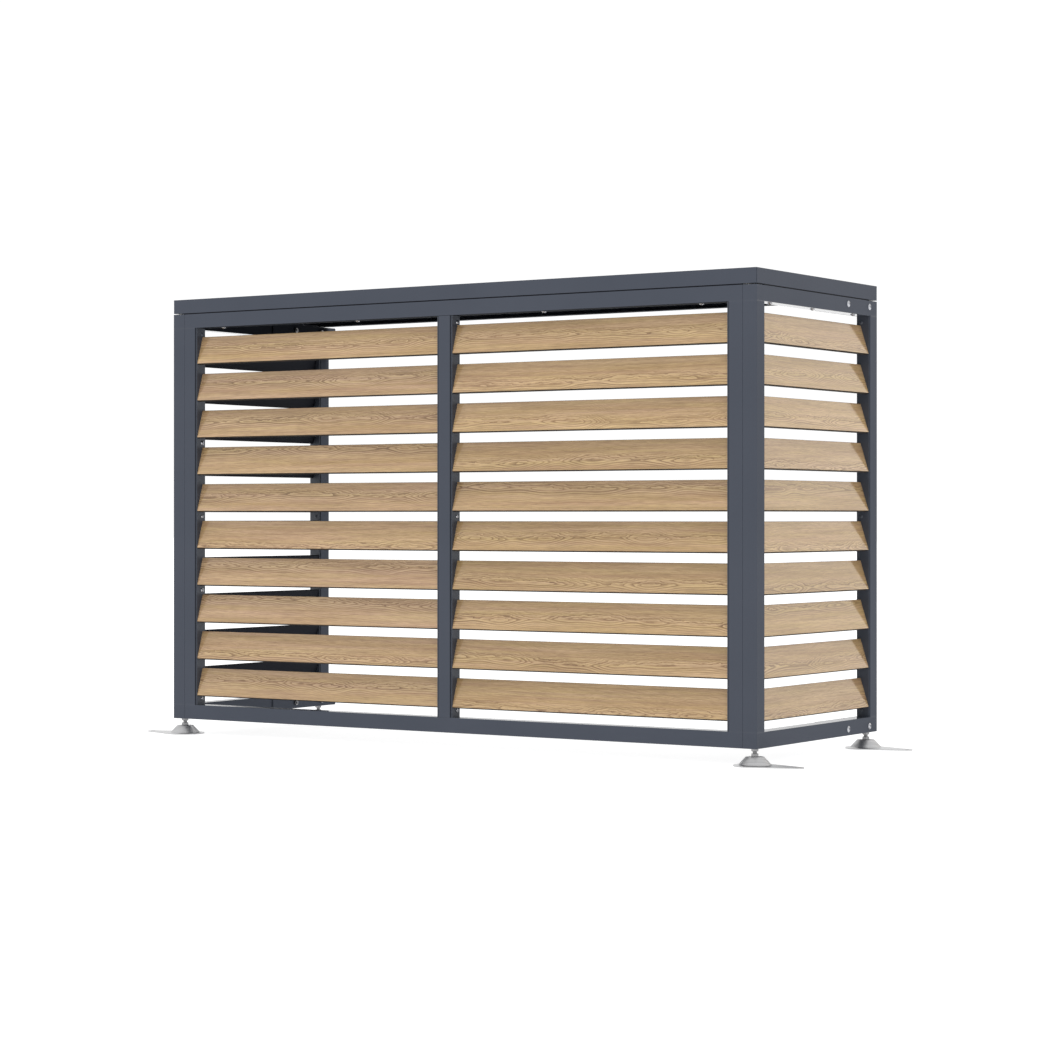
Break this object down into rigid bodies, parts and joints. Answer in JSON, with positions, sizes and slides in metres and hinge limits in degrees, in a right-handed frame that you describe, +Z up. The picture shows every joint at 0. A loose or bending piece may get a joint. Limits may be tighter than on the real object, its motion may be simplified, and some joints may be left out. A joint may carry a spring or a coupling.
{
  "type": "heat pump cover",
  "caption": "Free-standing louvred enclosure with wood-effect slats in a dark tube frame, a folded lid, an open back and levelling feet, hiding an outdoor heat pump unit.",
  "frame": {"origin": "on the ground, in the middle of the cover's outline in plan with its feet", "axes": "+X along the front to the right as seen from the front, +Y from the front to the open back, +Z up"},
  "size_m": [1.572, 0.541, 0.918],
  "materials": {
    "frame_coat": "anthracite powder coat, satin, very fine texture",
    "slat_wood_effect": "light oak wood-effect film with a satin coat",
    "carrier_plastic": "anthracite moulded plastic",
    "black_plastic": "black moulded plastic",
    "fastener_steel": "bare stainless steel",
    "key_aluminium": "mill finish, hidden in the tubes",
    "foot_metal": "satin light grey metal"
  },
  "bodies": {
    "cover": {"left_side_bottom_rail": "frame_coat", "left_side_top_rail": "frame_coat", "left_side_front_stile": "frame_coat", "left_side_rear_stile": "frame_coat", "right_side_bottom_rail": "frame_coat", "right_side_top_rail": "frame_coat", "right_side_front_stile": "frame_coat", "right_side_rear_stile": "frame_coat", "front_bottom_rail": "frame_coat", "front_top_rail": "frame_coat", "front_left_stile": "frame_coat", "front_right_stile": "frame_coat", "front_mullion": "frame_coat", "lid": "frame_coat", "rear_brackets": "frame_coat", "front_left_slat_01": "slat_wood_effect", "front_left_slat_02": "slat_wood_effect", "front_left_slat_03": "slat_wood_effect", "front_left_slat_04": "slat_wood_effect", "front_left_slat_05": "slat_wood_effect", "front_left_slat_06": "slat_wood_effect", "front_left_slat_07": "slat_wood_effect", "front_left_slat_08": "slat_wood_effect", "front_left_slat_09": "slat_wood_effect", "front_left_slat_10": "slat_wood_effect", "front_right_slat_01": "slat_wood_effect", "front_right_slat_02": "slat_wood_effect", "front_right_slat_03": "slat_wood_effect", "front_right_slat_04": "slat_wood_effect", "front_right_slat_05": "slat_wood_effect", "front_right_slat_06": "slat_wood_effect", "front_right_slat_07": "slat_wood_effect", "front_right_slat_08": "slat_wood_effect", "front_right_slat_09": "slat_wood_effect", "front_right_slat_10": "slat_wood_effect", "left_side_slats": "slat_wood_effect", "right_side_slats": "slat_wood_effect", "front_slat_carriers": "carrier_plastic", "side_slat_carriers": "carrier_plastic", "lid_seals": "black_plastic", "tapping_screws": "fastener_steel", "lid_spacers": "fastener_steel", "rivet_nuts": "fastener_steel", "machine_screws": "fastener_steel", "bracket_bolts": "fastener_steel", "bracket_nuts": "fastener_steel", "foot_lock_nuts": "fastener_steel", "corner_keys": "key_aluminium"},
    "front_left_foot_bush": {"front_left_foot_bush": "black_plastic"},
    "front_left_foot_stud": {"front_left_foot_stud": "fastener_steel"},
    "front_left_foot_base": {"front_left_foot_base": "foot_metal"},
    "front_right_foot_bush": {"front_right_foot_bush": "black_plastic"},
    "front_right_foot_stud": {"front_right_foot_stud": "fastener_steel"},
    "front_right_foot_base": {"front_right_foot_base": "foot_metal"},
    "rear_left_foot_bush": {"rear_left_foot_bush": "black_plastic"},
    "rear_left_foot_stud": {"rear_left_foot_stud": "fastener_steel"},
    "rear_left_foot_base": {"rear_left_foot_base": "foot_metal"},
    "rear_right_foot_bush": {"rear_right_foot_bush": "black_plastic"},
    "rear_right_foot_stud": {"rear_right_foot_stud": "fastener_steel"},
    "rear_right_foot_base": {"rear_right_foot_base": "foot_metal"}
  },
  "joints": [
    {"name": "front_left_foot_height", "type": "slide", "parent": "cover", "child": "front_left_foot_bush", "axis": [0, 0, 1], "range_m": [-0.012, 0.004]},
    {"name": "front_left_foot_screw", "type": "hinge", "parent": "front_left_foot_bush", "child": "front_left_foot_stud", "pos_m": [-0.685, -0.23, 0.03], "axis": [0, 0, 1], "range_deg": [-3500, 1200]},
    {"name": "front_left_foot_swivel", "type": "hinge", "parent": "front_left_foot_bush", "child": "front_left_foot_base", "pos_m": [-0.685, -0.23, 0.01], "axis": [0, 0, 1], "continuous": true},
    {"name": "front_right_foot_height", "type": "slide", "parent": "cover", "child": "front_right_foot_bush", "axis": [0, 0, 1], "range_m": [-0.012, 0.004]},
    {"name": "front_right_foot_screw", "type": "hinge", "parent": "front_right_foot_bush", "child": "front_right_foot_stud", "pos_m": [0.685, -0.23, 0.03], "axis": [0, 0, 1], "range_deg": [-3500, 1200]},
    {"name": "front_right_foot_swivel", "type": "hinge", "parent": "front_right_foot_bush", "child": "front_right_foot_base", "pos_m": [0.685, -0.23, 0.01], "axis": [0, 0, 1], "continuous": true},
    {"name": "rear_left_foot_height", "type": "slide", "parent": "cover", "child": "rear_left_foot_bush", "axis": [0, 0, 1], "range_m": [-0.012, 0.004]},
    {"name": "rear_left_foot_screw", "type": "hinge", "parent": "rear_left_foot_bush", "child": "rear_left_foot_stud", "pos_m": [-0.685, 0.23, 0.03], "axis": [0, 0, 1], "range_deg": [-3500, 1200]},
    {"name": "rear_left_foot_swivel", "type": "hinge", "parent": "rear_left_foot_bush", "child": "rear_left_foot_base", "pos_m": [-0.685, 0.23, 0.01], "axis": [0, 0, 1], "continuous": true},
    {"name": "rear_right_foot_height", "type": "slide", "parent": "cover", "child": "rear_right_foot_bush", "axis": [0, 0, 1], "range_m": [-0.012, 0.004]},
    {"name": "rear_right_foot_screw", "type": "hinge", "parent": "rear_right_foot_bush", "child": "rear_right_foot_stud", "pos_m": [0.685, 0.23, 0.03], "axis": [0, 0, 1], "range_deg": [-3500, 1200]},
    {"name": "rear_right_foot_swivel", "type": "hinge", "parent": "rear_right_foot_bush", "child": "rear_right_foot_base", "pos_m": [0.685, 0.23, 0.01], "axis": [0, 0, 1], "continuous": true}
  ],
  "couplings": [
    {"joint": "front_left_foot_screw", "follows": "front_left_foot_height", "rad_per_m": 5026.5},
    {"joint": "front_right_foot_screw", "follows": "front_right_foot_height", "rad_per_m": 5026.5},
    {"joint": "rear_left_foot_screw", "follows": "rear_left_foot_height", "rad_per_m": 5026.5},
    {"joint": "rear_right_foot_screw", "follows": "rear_right_foot_height", "rad_per_m": 5026.5}
  ]
}
